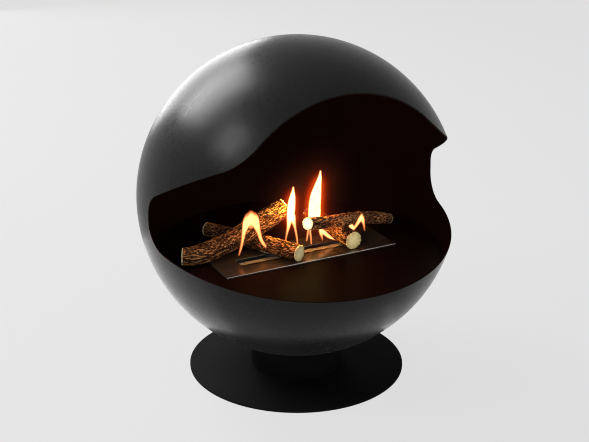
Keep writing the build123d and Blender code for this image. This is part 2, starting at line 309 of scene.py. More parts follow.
@dataclass(frozen=True)
class Bark:
    """Fibrous bark, coloured by how deep a point lies in its cracks."""

    name: str
    crack: Colour = (0.005, 0.0018, 0.0008)
    body: Colour = (0.055, 0.021, 0.0085)
    ridge: Colour = (0.6, 0.27, 0.1)
    bare: Colour = (0.85, 0.7, 0.4)
    body_band: tuple[float, float] = (0.42, 0.56)
    ridge_band: tuple[float, float] = (0.7, 0.84)
    patch_band: tuple[float, float] = (0.4, 0.7)
    fleck_band: tuple[float, float] = (0.58, 0.68)
    bare_band: tuple[float, float] = (0.85, 1.1)
    specular: float = 0.09
    fibre_height: float = 0.0012

    def build(self) -> bpy.types.Material:
        """Returns the material."""
        graph = Graph.material(self.name)
        grain = graph.stored("grain", "Vector")
        fibre = graph.noise(graph.scaled(grain, (1.0, 1.0, 0.22)), 700.0, 4.0, 0.72)
        fleck = graph.noise(graph.scaled(grain, (1.0, 1.0, 0.3)), 820.0)
        patch = graph.noise(grain, 45.0, 3.0)
        depth = graph.math("MULTIPLY", graph.stored("depth"), 0.7)
        height = graph.math("ADD", depth, graph.math("MULTIPLY", fibre, 0.5))
        colour = graph.blend(graph.spread(height, *self.body_band), self.crack, self.body)
        colour = graph.blend(graph.spread(height, *self.ridge_band), colour, self.ridge)
        colour = graph.blend(graph.spread(patch, *self.patch_band, 0.0, 0.4), colour, self.body)
        colour = graph.blend(graph.spread(fleck, *self.fleck_band, 0.0, 0.6), colour, self.ridge)
        peeled = graph.math("ADD", graph.stored("peeled"), fibre)
        sockets = {
            "Base Color": graph.blend(graph.spread(peeled, *self.bare_band), colour, self.bare),
            "Roughness": graph.vary(fibre, 0.62, 0.85),
            "Normal": graph.bump(fibre, self.fibre_height),
            "Specular IOR Level": self.specular,
        }
        return graph.coat(sockets)


@dataclass(frozen=True)
class CutWood:
    """Pale sawn end with rays that run out from its heart."""

    name: str
    heart: Colour = (0.95, 0.84, 0.48)
    rim: Colour = (0.74, 0.62, 0.28)
    line: Colour = (0.24, 0.17, 0.05)
    # Strength of painted light: the sawn end glows as if a flame lit it
    painted_glow: float = 0.0
    rim_band: tuple[float, float] = (0.3, 0.95)
    ray_band: tuple[float, float] = (0.52, 0.66)
    gap_band: tuple[float, float] = (0.15, 0.9)
    ray_height: float = -0.0006

    def build(self) -> bpy.types.Material:
        """Returns the material."""
        graph = Graph.material(self.name)
        spot = graph.stored("spot", "Vector")
        out = graph.add("SeparateXYZ", {0: spot}).outputs["Z"]
        ray = graph.noise(spot, 1.0, 3.0, 0.6)
        colour = graph.blend(graph.spread(out, *self.rim_band), self.heart, self.rim)
        colour = graph.blend(graph.spread(ray, *self.ray_band, 0.0, 0.6), colour, self.line)
        colour = graph.blend(graph.spread(graph.stored("gap"), *self.gap_band, 0.0, 0.85), colour, self.line)
        sockets = {
            "Base Color": colour,
            "Roughness": graph.vary(ray, 0.6, 0.75),
            "Normal": graph.bump(ray, self.ray_height),
        }
        # Painted light: the sawn end glows in its own colour, in place of the flame's light falling on it
        if self.painted_glow > 0.0:
            sockets["Emission Color"] = colour
            sockets["Emission Strength"] = self.painted_glow
        return graph.coat(sockets)


@dataclass(frozen=True)
class FlameSkin:
    """Glowing gas that fades out towards its edge by the glow stored in the mesh."""

    name: str
    edge: Colour = (1.0, 0.12, 0.008)
    core: Colour = (1.0, 0.5, 0.17)
    hot: Colour = (1.0, 0.78, 0.26)
    strength: float = 7.5
    solid_at: float = 0.26
    core_at: float = 0.7
    hot_from: float = 0.76
    falloff: float = 1.6
    lick: float = 0.06

    def build(self) -> bpy.types.Material:
        """Returns the material."""
        graph = Graph.material(self.name)
        drift = graph.noise(graph.place((1.0, 1.0, 0.35)), 110.0)
        lick = graph.vary(drift, 1.0 - self.lick, 1.0 + self.lick)
        warmth = graph.math("MULTIPLY", graph.stored("glow"), lick)
        colour = graph.blend(graph.spread(warmth, 0.0, self.core_at), self.edge, self.core)
        colour = graph.blend(graph.spread(warmth, self.hot_from, 1.0), colour, self.hot)
        strength = graph.math("MULTIPLY", graph.math("POWER", warmth, self.falloff), self.strength)
        return graph.gas(graph.spread(warmth, 0.0, self.solid_at), colour, strength)


@dataclass(frozen=True)
class GlowSkin:
    """Faint red haze round a flame, thinner further out."""

    name: str
    near: Colour = (1.0, 0.065, 0.006)
    far: Colour = (1.0, 0.24, 0.13)
    near_at: float = 0.035
    unevenness: float = 0.05

    def build(self) -> bpy.types.Material:
        """Returns the material."""
        graph = Graph.material(self.name)
        glow = graph.stored("glow")
        drift = graph.vary(graph.noise(graph.place(), 60.0), 1.0 - self.unevenness, 1.0)
        colour = graph.blend(graph.spread(glow, 0.0, self.near_at), self.far, self.near)
        return graph.gas(graph.math("MULTIPLY", glow, drift), colour, 1.0)


@dataclass(frozen=True)
class StudioFloor:
    """Pale floor that stays even to the camera and keeps the shadow."""

    name: str
    tone: float
    shadow_share: float = 0.04

    def build(self) -> bpy.types.Material:
        """Returns the material."""
        graph = Graph.material(self.name)
        seen = graph.math("MULTIPLY", graph.plain_share(), 1.0 - self.shadow_share)
        tone = (self.tone, self.tone, self.tone, 1.0)
        plain = graph.add("BsdfDiffuse", {"Color": tone})
        even = graph.add("Emission", {"Color": tone, "Strength": 1.0})
        return graph.finish(graph.mix(seen, plain, even))


class Finishes:
    """Every finish of the object, built once."""

    def __init__(self) -> None:
        """Builds the materials."""
        self.ball = PowderCoat(
            "graphite_coat",
            (0.0054, 0.0051, 0.0052),
            (0.0088, 0.0084, 0.0085),
            roughness=0.29,
            specular=0.058,
            grain_height=0.00005,
            wave_height=0.00007,
            sheen=0.02,
        ).build()
        # Matt black chamber coat, with a red tint that is painted firelight
        self.inside = PowderCoat(
            "chamber_coat", (0.0045, 0.0017, 0.0009), (0.0065, 0.0026, 0.0015), 0.6, 0.006
        ).build()
        self.hearth = PowderCoat(
            "hearth_coat", (0.0044, 0.0013, 0.0007), (0.0068, 0.0021, 0.0012), 0.45, 0.016
        ).build()
        self.foot = PowderCoat(
            "foot_coat", (0.004, 0.004, 0.004), (0.0065, 0.0065, 0.0065), 0.55, 0.004
        ).build()
        # The burner's top carries a band of painted shade in front of its slot
        self.dark_steel = SheetSteel(
            "burner_steel", (0.21, 0.158, 0.128), (0.125, 0.088, 0.068), 0.27, metal=0.9, painted_shade_reach=0.008
        ).build()
        self.slider = SheetSteel(
            "slider_steel", (0.32, 0.265, 0.21), (0.23, 0.17, 0.12), 0.4, metal=0.35
        ).build()
        # Lighter steel for painted highlights on the burner top's rounded rim and on the slot's far cut face
        self.painted_highlight_steel = SheetSteel("painted_highlight_steel", (0.36, 0.33, 0.3), (0.28, 0.25, 0.22), 0.3).build()
        self.stainless = SheetSteel("tank_steel", (0.5, 0.5, 0.5), (0.35, 0.28, 0.2), 0.32).build()
        self.zinc = SheetSteel(
            "zinc_plate", (0.62, 0.62, 0.64), (0.5, 0.49, 0.42), 0.35, lines=(200.0, 200.0, 200.0)
        ).build()
        self.rubber = Matt("sheet_rubber", (0.016, 0.016, 0.016), (0.03, 0.03, 0.03), 700.0).build()
        self.wool = Matt("ceramic_wool", (0.72, 0.7, 0.64), (0.85, 0.84, 0.8), 220.0, (1.0, 1.0, 4.0)).build()
        self.bark = Bark("bark").build()
        self.cut_wood = CutWood("cut_wood").build()
        # Lighter copy of the sawn end that glows: painted light from the flame beside it
        self.painted_glow_wood = CutWood(
            "painted_glow_wood", (0.9, 0.85, 0.55), (0.8, 0.7, 0.4), (0.6, 0.4, 0.15), painted_glow=1.25
        ).build()
        self.flame = FlameSkin("flame").build()
        self.haze = GlowSkin("flame_haze").build()

    def dress(self, nodes: dict[str, bpy.types.Object]) -> None:
        """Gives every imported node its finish."""
        wanted = {
            self.ball: ("upper_shell", "lower_shell", "saddle_plate"),
            self.hearth: ("hearth_plate", "hearth_brackets"),
            self.foot: ("base_plate", "neck_tube", "neck_flange", "neck_dish"),
            self.dark_steel: ("burner_plate", "damper_rails"),
            self.slider: ("damper_slide",),
            self.stainless: ("burner_box", "fuel_tank", "mesh_plate"),
            self.zinc: ("base_screws", "saddle_bolts", "saddle_washers", "saddle_nuts"),
            self.rubber: ("floor_pad",),
            self.wool: ("fibre_pad",),
            self.bark: ("log_a", "log_b", "log_c", "log_d"),
        }
        for material, names in wanted.items():
            for name in names:
                self.give(nodes[name], material)
        for name in ("upper_shell", "lower_shell"):
            self.blacken(nodes[name])

    @staticmethod
    def give(piece: bpy.types.Object, *materials: bpy.types.Material) -> None:
        """Replaces a piece's materials."""
        piece.data.materials.clear()
        for material in materials:
            piece.data.materials.append(material)

    def blacken(self, shell: bpy.types.Object) -> None:
        """Gives the ball's inner side and cut edges the matt finish of the fire chamber."""
        shell.data.materials.append(self.inside)
        middle = Vector((0.0, 0.0, BALL_CENTRE * MM))
        least = (BALL_R - WALL / 2) * MM
        for face in shell.data.polygons:
            out = shell.matrix_world @ face.center - middle
            outer = out.length > least and face.normal.dot(out.normalized()) > 0.5
            face.material_index = 0 if outer else 1


@dataclass(frozen=True)
class PhotoCamera:
    """Camera at the reference view."""

    position: Point = (-1.2680, -2.3515, 1.3748)
    forward: Point = (0.4405, 0.8208, -0.3637)
    roll: float = 0.005
    lens: float = 83.02
    sensor: float = 36.0

    def build(self) -> bpy.types.Object:
        """Returns the scene's camera."""
        data = bpy.data.cameras.new("camera")
        data.sensor_width = self.sensor
        data.lens = self.lens
        camera = bpy.data.objects.new("camera", data)
        bpy.context.scene.collection.objects.link(camera)
        ahead = Vector(self.forward).normalized()
        right = ahead.cross(Vector((0.0, 0.0, 1.0))).normalized()
        up = right.cross(ahead)
        turned = right * math.cos(self.roll) + up * math.sin(self.roll)
        upright = up * math.cos(self.roll) - right * math.sin(self.roll)
        columns = Matrix((turned, upright, -ahead)).transposed().to_4x4()
        camera.matrix_world = Matrix.Translation(self.position) @ columns
        bpy.context.scene.camera = camera
        return camera


def hang(name: str, kind: str) -> bpy.types.Object:
    """Adds a lamp, AREA or POINT, that the camera doesn't see."""
    lamp = bpy.data.objects.new(name, bpy.data.lights.new(name, kind))
    bpy.context.scene.collection.objects.link(lamp)
    lamp.visible_camera = False
    return lamp


@dataclass(frozen=True)
class SoftBox:
    """Soft box that faces the ball, some way off its centre; sizes in metres."""

    name: str
    toward: Point
    distance: float
    sides: tuple[float, float]
    radiance: float
    along: Point = (0.0, 0.0, 1.0)

    def build(self) -> None:
        """Hangs the box, its second side along the given direction."""
        lamp = hang(self.name, "AREA")
        lamp.data.shape = "RECTANGLE"
        lamp.data.size, lamp.data.size_y = self.sides
        lamp.data.energy = BOX_POWER * self.radiance * self.sides[0] * self.sides[1]
        out = Vector(self.toward).normalized()
        across = Vector(self.along).cross(out).normalized()
        turn = Matrix((across, out.cross(across), out)).transposed().to_4x4()
        centre = Vector((0.0, 0.0, BALL_CENTRE * MM))
        lamp.matrix_world = Matrix.Translation(out * self.distance + centre) @ turn


@dataclass(frozen=True)
class FloorBox:
    """Square soft box on the floor that shines up at the ball's lower half; x and y in millimetres."""

    name: str
    x: float
    y: float
    side: float
    radiance: float
    height: float = 4.0

    def build(self) -> None:
        """Lays the box down, face up."""
        lamp = hang(self.name, "AREA")
        lamp.data.size = self.side
        lamp.data.energy = BOX_POWER * self.radiance * self.side * self.side
        lamp.location = Vector((self.x, self.y, self.height)) * MM
        lamp.rotation_euler = (math.pi, 0.0, 0.0)


@dataclass(frozen=True)
class Ember:
    """Small warm lamp that spreads a flame's light; its place in millimetres, lift over the hearth."""

    name: str
    x: float
    y: float
    lift: float
    power: float
    colour: Colour
    radius: float = 0.012

    def build(self) -> None:
        """Hangs the lamp, seen by no gloss."""
        lamp = hang(self.name, "POINT")
        lamp.data.shadow_soft_size = self.radius
        lamp.data.color = self.colour
        lamp.data.energy = self.power
        lamp.location = Vector((self.x, self.y, HEARTH_TOP + self.lift)) * MM
        lamp.visible_glossy = False


@dataclass(frozen=True)
class Studio:
    """Pale room with its floor, soft boxes and the fire's own light."""

    floor_half: float = 14.0
    floor_height: float = -0.0002
    tone: float = 0.735
    sky: float = 0.2
    pixel_blur: float = 1.1
    rim_course: Point = (0.599, 0.279, -0.751)
    orange: Colour = (1.0, 0.42, 0.13)

    def lamps(self) -> list[SoftBox | FloorBox | Ember]:
        """Every lamp, from the large soft boxes to the small embers."""
        return [
            SoftBox("limb", (0.024, 0.964, 0.264), 3.5, (1.8, 2.6), 4.4, self.rim_course),
            SoftBox("shoulder", (-0.33, 0.68, 0.655), 3.5, (2.0, 1.8), 22.0, self.rim_course),
            SoftBox("overhead", (-0.313, 0.073, 0.947), 2.8, (3.0, 3.0), 0.15),
            SoftBox("patch", (-0.72, 0.03, 0.69), 3.0, (1.0, 1.0), 18.0),
            SoftBox("key", (-0.5, -0.78, 0.37), 3.5, (1.2, 1.2), 3.6),
            SoftBox("edge", (0.44, -0.82, 0.37), 3.5, (1.2, 1.2), 4.0),
            FloorBox("bounce_left", -500.0, 350.0, 0.8, 1.05),
            FloorBox("bounce_front", -200.0, -500.0, 0.9, 0.35),
            FloorBox("bounce_right", 600.0, 50.0, 0.8, 0.32),
            Ember("ember_left", -100.0, -36.0, 112.0, 0.16, self.orange),
            Ember("ember_middle", -20.0, -14.0, 116.0, 1.05, (1.0, 0.58, 0.11)),
            Ember("ember_tall", 42.0, -25.0, 120.0, 0.62, (1.0, 0.34, 0.1)),
            Ember("ember_low", 27.0, -30.0, 101.0, 0.13, (1.0, 0.3, 0.08)),
            Ember("ember_under", 62.0, -84.0, 62.0, 0.03, (1.0, 0.3, 0.05)),
            Ember("ember_foot", -90.0, -92.0, 62.0, 0.09, (1.0, 0.52, 0.24)),
            Ember("ember_front", 100.0, -140.0, 50.0, 0.045, (1.0, 0.95, 0.52)),
        ]

    def lay_floor(self) -> None:
        """Lays the floor just under the part."""
        bpy.ops.object.select_all(action="DESELECT")
        bpy.ops.mesh.primitive_plane_add(size=2 * self.floor_half, location=(0, 0, self.floor_height))
        floor = bpy.context.object
        floor.name = "floor"
        floor.data.materials.append(StudioFloor("floor_paper", self.tone).build())

    def light_room(self) -> None:
        """Sets the room's soft light, and the pale tone that the camera sees in its place."""
        graph = Graph(bpy.data.worlds.new("studio"), "OutputWorld")
        soft = graph.add("Background", {"Color": (1.0, 1.0, 1.0, 1.0), "Strength": self.sky})
        tone = (self.tone, self.tone, self.tone, 1.0)
        pale = graph.add("Background", {"Color": tone, "Strength": 1.0})
        bpy.context.scene.world = graph.finish(graph.mix(graph.plain_share(), soft, pale))

    def build(self) -> None:
        """Builds the floor, the room's light and the lamps."""
        self.lay_floor()
        self.light_room()
        scene = bpy.context.scene
        scene.view_settings.view_transform = "Standard"
        scene.cycles.filter_width = self.pixel_blur
        for lamp in self.lamps():
            lamp.build()


def modify(piece: bpy.types.Object, kind: str, **settings: Any) -> None:
    """Applies one modifier to the active piece.

    Args:
        piece: the active piece.
        kind: the modifier's type.
        settings: its attributes.
    """
    step = piece.modifiers.new(kind.lower(), kind)
    for key, value in settings.items():
        setattr(step, key, value)
    bpy.ops.object.modifier_apply(modifier=step.name)


def join(mesh: Mesh, first: Ring, second: Ring, finish: int = 0) -> None:
    """Joins two rings of points with smooth quads, the second ring at their upper edges."""
    for k in range(len(first)):
        m = (k + 1) % len(first)
        face = mesh.faces.new((first[k], first[m], second[m], second[k]))
        face.smooth = True
        face.material_index = finish


def spline(a: Vector, b: Vector, c: Vector, d: Vector, t: float) -> Vector:
    """Catmull-Rom point between b and c, at a share of the span."""
    return 0.5 * (2 * b + (c - a) * t + (2 * a - 5 * b + 4 * c - d) * t**2 + (3 * b - a - 3 * c + d) * t**3)


class Station(NamedTuple):
    """One place along a log: its middle, lift over the hearth and radius there, in millimetres."""

    x: float
    y: float
    lift: float
    radius: float

    def middle(self) -> Vector:
        """Middle of the section in metres."""
        return Vector((self.x, self.y, HEARTH_TOP + self.lift)) * MM


class Layer(NamedTuple):
    """One noise in the bark: repeats per metre across and along the log, its own shift, and weight."""

    across: float
    along: float
    shift: float
    weight: float


class Groove(NamedTuple):
    """Long crack: its angle round the log, first and last place along it and width in mm, and depth."""

    angle: float
    first: float
    last: float
    depth: float
    width: float


class Splinter(NamedTuple):
    """Bare patch where bark came off: its angle, first and last place along the log and half width in mm."""

    angle: float
    first: float
    last: float
    half_width: float


@dataclass
class CeramicLog:
    """Moulded log with cracked bark and pale sawn ends; sizes in millimetres."""

    name: str
    node: str
    body: Body
    stations: Sequence[Station]
    seed: int
    facing: Point | None = None
    # Whether the first end gets the glowing sawn end, painted light from the flame
    painted_glow_end: bool = False
    grooves: Sequence[Groove] = ()
    splinter: Splinter | None = None
    around: int = 180
    step: float = 1.0
    layers: Sequence[Layer] = (
        Layer(340.0, 62.0, 1.0, 0.4),
        Layer(640.0, 150.0, 5.0, 0.85),
        Layer(900.0, 220.0, 7.0, 0.5),
        Layer(90.0, 18.0, 3.0, 0.3),
    )
    crack_depth: float = 1.4
    groove_fade: float = 15.0
    splinter_rise: float = 1.2
    notches: int = 15
    notch_width: float = 0.45
    notch_depth: float = 2.1
    notch_reach: float = 6.0
    slant_reach: float = 30.0
    slant_steps: int = 4
    cap_rings: int = 12
    cap_dome: float = 0.8
    cap_notch_depth: float = 1.8
    cap_notch_from: float = 0.35
    cap_rays: float = 5.0
    gap_from: float = 0.3
    pale_rings: int = 2

    def centre_line(self) -> tuple[list[Vector], list[float]]:
        """Smooth middle line with the radius along it.

        Returns:
            Points a step apart, and the radius at each, in metres.
        """
        middles = [s.middle() for s in self.stations]
        radii = [s.radius * MM for s in self.stations]
        ends = [middles[0] * 2 - middles[1], *middles, middles[-1] * 2 - middles[-2]]
        points, sizes = [], []
        for n in range(len(middles) - 1):
            a, b, c, d = ends[n : n + 4]
            count = max(2, round((c - b).length / (self.step * MM)))
            for k in range(count):
                t = k / count
                points.append(spline(a, b, c, d, t))
                sizes.append(radii[n] + (radii[n + 1] - radii[n]) * t)
        points.append(middles[-1])
        sizes.append(radii[-1])
        return points, sizes

    def relief(self, angle: float, along: float, radius: float) -> float:
        """Height of the bark's surface, 1 on a plate, 0 in a crack and less in a groove.

        Args:
            angle: angle round the log.
            along: metres along it.
            radius: its radius there.

        Returns:
            The height.
        """
        turn = angle + 0.25 * math.sin(along * 31.0 + self.seed)
        spot = Vector((math.cos(turn) * radius, math.sin(turn) * radius, along))
        shift = Vector((self.seed * 0.37, self.seed * 0.11, 0.0))
        value = 0.5
        for layer in self.layers:
            scaled = Vector((spot.x * layer.across, spot.y * layer.across, spot.z * layer.along))
            value += layer.weight * noise.noise(scaled + shift * layer.shift)
        for groove in self.grooves:
            before, after = along / MM - groove.first, groove.last - along / MM
            if before > 0.0 and after > 0.0:
                bend = groove.angle + 0.1 * math.sin(along * 55.0)
                off = self.off_line(angle, bend, radius)
                fade = min(1.0, before / self.groove_fade, after / self.groove_fade)
                value -= groove.depth * fade * max(0.0, 1.0 - off / groove.width)
        return max(-0.8, min(1.0, value))

    @staticmethod
    def off_line(angle: float, line: float, radius: float) -> float:
        """Millimetres round the log from an angle to a line along it."""
        return abs(math.remainder(angle - line, math.tau)) * radius / MM

    def bare_share(self, angle: float, along: float, radius: float) -> float:
        """Share of bare wood at a point of the log's side, 1 in the middle of the splinter."""
        if self.splinter is None:
            return 0.0
        middle = (self.splinter.first + self.splinter.last) / 2
        half = (self.splinter.last - self.splinter.first) / 2
        off = self.off_line(angle, self.splinter.angle, radius)
        span = ((along / MM - middle) / half) ** 2
        return max(0.0, 1.0 - (off / self.splinter.half_width) ** 2 - span)

    def build(self, finishes: Finishes) -> None:
        """Models the log.

        Args:
            finishes: the object's finishes.
        """
        bpy.ops.object.select_all(action="DESELECT")
        bpy.ops.mesh.primitive_cylinder_add(vertices=self.around, end_fill_type="NOTHING")
        log = bpy.context.object
        log.name = self.name
        log.data.name = self.name
        mesh = bmesh.new()
        rows, sides = self.rows(*self.centre_line())
        grid = [[mesh.verts.new(p) for p in row] for row in rows]
        for n, (lower, upper) in enumerate(zip(grid[:-1], grid[1:])):
            pale = n < self.pale_rings or n >= len(grid) - 1 - self.pale_rings
            join(mesh, lower, upper, 1 if pale else 0)
        spots = {}
        # The first end of a log beside a flame gets the glowing sawn end, painted light
        self.cap(mesh, grid[0], True, spots, 2 if self.painted_glow_end else 1)
        self.cap(mesh, grid[-1], False, spots, 1)
        bmesh.ops.recalc_face_normals(mesh, faces=mesh.faces)
        mesh.verts.index_update()
        side_values = list(zip([v.index for row in grid for v in row], sides))
        spot_values = {v.index: value for v, value in spots.items()}
        # Before the faces arrive, since clearing the materials would reset the faces' numbers
        finishes.give(log, finishes.bark, finishes.cut_wood, finishes.painted_glow_wood)
        mesh.to_mesh(log.data)
        mesh.free()
        self.store(log.data, side_values, spot_values)
        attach(log, self.body.value)
        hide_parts(self.node)

    def store(self, data: bpy.types.Mesh, sides: list[tuple[int, Any]], spots: dict[int, Vector]) -> None:
        """Stores what the finishes read at each point.

        Args:
            data: the log's mesh.
            sides: each side point's number, with its relief, place on a straight log and share of bare wood.
            spots: each end point's number and place on its cap.
        """
        numbers, vectors = ("depth", "gap", "peeled"), ("grain", "spot")
        for name in numbers:
            data.attributes.new(name, "FLOAT", "POINT")
        for name in vectors:
            data.attributes.new(name, "FLOAT_VECTOR", "POINT")
        depth, gap, peeled, grain, spot = (data.attributes[name].data for name in (*numbers, *vectors))
        for index, (height, straight, bare) in sides:
            depth[index].value = height
            grain[index].vector = straight
            peeled[index].value = bare
        for index, value in spots.items():
            spot[index].vector = value
            share = value.z * max(0.0, (value.z - self.gap_from) / (1.0 - self.gap_from))
            gap[index].value = share * self.notch(math.atan2(value.y, value.x))

    def rows(self, points: list[Vector], sizes: list[float]) -> tuple[list[list[Vector]], list[Any]]:
        """Rings of points with bark relief.

        Args:
            points: middle line.
            sizes: radius along it.

        Returns:
            The rings, and each point's relief, place on a straight log and share of bare wood.
        """
        rings, sides = [], []
        side = None
        along = 0.0
        total = sum((b - a).length for a, b in zip(points[:-1], points[1:]))
        for n, point in enumerate(points):
            ahead = (points[min(n + 1, len(points) - 1)] - points[max(n - 1, 0)]).normalized()
            if side is None:
                side = ahead.cross(Vector((0.0, 0.0, 1.0))).normalized()
            side = (side - ahead * side.dot(ahead)).normalized()
            over = ahead.cross(side)
            if n:
                along += (point - points[n - 1]).length
            near_end = max(0.0, 1.0 - min(along, total - along) / (self.notch_reach * MM))
            ring = []
            for k in range(self.around):
                angle = math.tau * k / self.around
                height = self.relief(angle, along, sizes[n])
                bare = self.bare_share(angle, along, sizes[n])
                drop = (1.0 - height) * self.crack_depth * MM
                drop = drop * (1.0 - bare) - bare * self.splinter_rise * MM
                drop += self.notch(angle) * near_end * self.notch_depth * MM
                way = side * math.cos(angle) + over * math.sin(angle)
                ring.append(self.slant(point + way * (sizes[n] - drop), points, along))
                straight = Vector((math.cos(angle) * sizes[n], math.sin(angle) * sizes[n], along))
                sides.append((height, straight, bare))
            rings.append(ring)
        return rings, sides

    def slant(self, place: Vector, points: list[Vector], along: float) -> Vector:
        """Shears a point near the first end so that the end faces the wanted way."""
        if self.facing is None:
            return place
        face = Vector(self.facing).normalized()
        course = (points[0] - points[self.slant_steps]).normalized()
        share = max(0.0, 1.0 - along / (self.slant_reach * MM))
        off = (place - points[0] + course * along).dot(face) / course.dot(face)
        return place - course * off * share

    def notch(self, angle: float) -> float:
        """Depth of the rim's notches at an angle, between 0 and 1."""
        wobble = angle + 0.16 * math.sin(3 * angle + self.seed) + 0.08 * math.sin(7 * angle)
        wave = abs(math.sin(wobble * self.notches / 2))
        return max(0.0, 1.0 - wave / self.notch_width)

    def cap(self, mesh: Mesh, rim: Ring, first: bool, spots: dict[Any, Vector], finish: int) -> None:
        """Closes an end with rings towards its heart.

        Args:
            mesh: the mesh.
            rim: the last ring of points.
            first: whether this is the log's first end.
            spots: place on the cap, filled for each point.
            finish: number of its material.
        """
        middle = sum((v.co for v in rim), Vector()) / len(rim)
        normal = (rim[1].co - rim[0].co).cross(middle - rim[0].co).normalized()
        normal = -normal if first else normal
        angles = [math.tau * k / self.around for k in range(self.around)]
        rays = [(math.cos(angle) * self.cap_rays, math.sin(angle) * self.cap_rays) for angle in angles]
        outer = rim
        for number in range(1, self.cap_rings):
            share = 1.0 - number / self.cap_rings
            deep = max(0.0, (share - self.cap_notch_from) / (1.0 - self.cap_notch_from)) ** 1.5
            dome = (1.0 - share**4) * self.cap_dome * MM
            ring = []
            for vert, angle, ray in zip(rim, angles, rays):
                groove = self.notch(angle) * deep * self.cap_notch_depth * MM
                ring.append(mesh.verts.new(middle.lerp(vert.co, share) - normal * (groove - dome)))
                spots[ring[-1]] = Vector((*ray, share))
            join(mesh, outer, ring, finish)
            outer = ring
        heart = mesh.verts.new(middle + normal * (self.cap_dome * MM))
        spots[heart] = Vector((0.0, 0.0, 0.0))
        for k in range(self.around):
            face = mesh.faces.new((outer[k], outer[(k + 1) % self.around], heart))
            face.material_index = finish
            face.smooth = True
        for vert, ray in zip(rim, rays):
            spots[vert] = Vector((*ray, 1.0))


@dataclass(frozen=True)
class BurnerPlate:
    """Burner's sheet-steel top with a folded lip and a long slot, its edges eased; sizes in millimetres."""

    length: float = 400.0
    width: float = 120.0
    height: float = 4.0
    sheet: float = 2.0
    past: float = 1.0
    edge: float = 0.4
    edge_steps: int = 3
    edge_angle: float = 60.0
    rim: float = 1.5
    rim_steps: int = 5
    smooth_angle: float = 50.0
    slack: float = 0.01

    def round_rim(self, plate: bpy.types.Object) -> None:
        """Rounds the upper outer edge of the folded lip."""
        bpy.ops.object.mode_set(mode="EDIT")
        mesh = bmesh.from_edit_mesh(plate.data)
        top = (HEARTH_TOP + self.height - self.slack) * MM
        half_x, half_y = (self.length / 2 - self.slack) * MM, (self.width / 2 - self.slack) * MM
        for edge in mesh.edges:
            ends = [v.co for v in edge.verts]
            along_x = all(abs(co.y - BURNER_Y * MM) > half_y for co in ends)
            along_y = all(abs(co.x) > half_x for co in ends)
            edge.select_set(all(co.z > top for co in ends) and (along_x or along_y))
        bmesh.update_edit_mesh(plate.data)
        bpy.ops.mesh.bevel(offset=self.rim * MM, segments=self.rim_steps, affect="EDGES")
        bpy.ops.object.mode_set(mode="OBJECT")

    def on_rim(self, face: bpy.types.MeshPolygon) -> bool:
        """Whether a face lies on the rounded outer edge, which gets a lighter steel as a painted highlight.
        """
        near_x = abs(face.center.x) > (self.length / 2 - self.rim) * MM
        near_y = abs(face.center.y - BURNER_Y * MM) > (self.width / 2 - self.rim) * MM
        return (near_x or near_y) and 0.1 < face.normal.z < 0.97

    def on_far_cut(self, face: bpy.types.MeshPolygon) -> bool:
        """Whether a face is the slot's far cut edge."""
        at_far = abs(face.center.y - (BURNER_Y + SLOT_WIDTH / 2) * MM) < MM
        return face.normal.y < -0.7 and at_far and abs(face.center.x) < SLOT_LENGTH / 2 * MM

    def block(self, length: float, width: float, low: float, high: float) -> bpy.types.Object:
        """Adds a block of some length along X and width along Y between two heights."""
        bpy.ops.object.select_all(action="DESELECT")
        middle = (0.0, BURNER_Y * MM, (low + high) / 2 * MM)
        bpy.ops.mesh.primitive_cube_add(size=1.0, location=middle)
        block = bpy.context.object
        block.scale = (length * MM, width * MM, (high - low) * MM)
        bpy.ops.object.transform_apply(location=True, rotation=False, scale=True)
        return block

    def cut(self, body: bpy.types.Object, cutter: bpy.types.Object) -> None:
        """Cuts one block out of the body."""
        bpy.context.view_layer.objects.active = body
        modify(body, "BOOLEAN", operation="DIFFERENCE", solver="EXACT", object=cutter)
        bpy.data.objects.remove(cutter, do_unlink=True)

    def build(self, finishes: Finishes) -> None:
        """Models the plate.

        Args:
            finishes: the object's finishes.
        """
        low, high = HEARTH_TOP, HEARTH_TOP + self.height
        length, width = self.length - 2 * self.sheet, self.width - 2 * self.sheet
        plate = self.block(self.length, self.width, low, high)
        self.cut(plate, self.block(length, width, low - self.past, high - self.sheet))
        self.cut(plate, self.block(SLOT_LENGTH, SLOT_WIDTH, low - self.past, high + self.past))
        bpy.ops.object.select_all(action="DESELECT")
        plate.select_set(True)
        bpy.context.view_layer.objects.active = plate
        self.round_rim(plate)
        modify(
            plate,
            "BEVEL",
            width=self.edge * MM,
            segments=self.edge_steps,
            limit_method="ANGLE",
            angle_limit=math.radians(self.edge_angle),
        )
        bpy.ops.object.shade_smooth_by_angle(angle=math.radians(self.smooth_angle))
        plate.name = "burner_top"
        plate.data.name = plate.name
        finishes.give(plate, finishes.dark_steel, finishes.painted_highlight_steel)
        # Painted highlight: the rounded rim and the slot's far cut face get the lighter steel
        for face in plate.data.polygons:
            face.material_index = 1 if self.on_rim(face) or self.on_far_cut(face) else 0
        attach(plate, Body.BURNER.value)
        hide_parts("burner_plate")


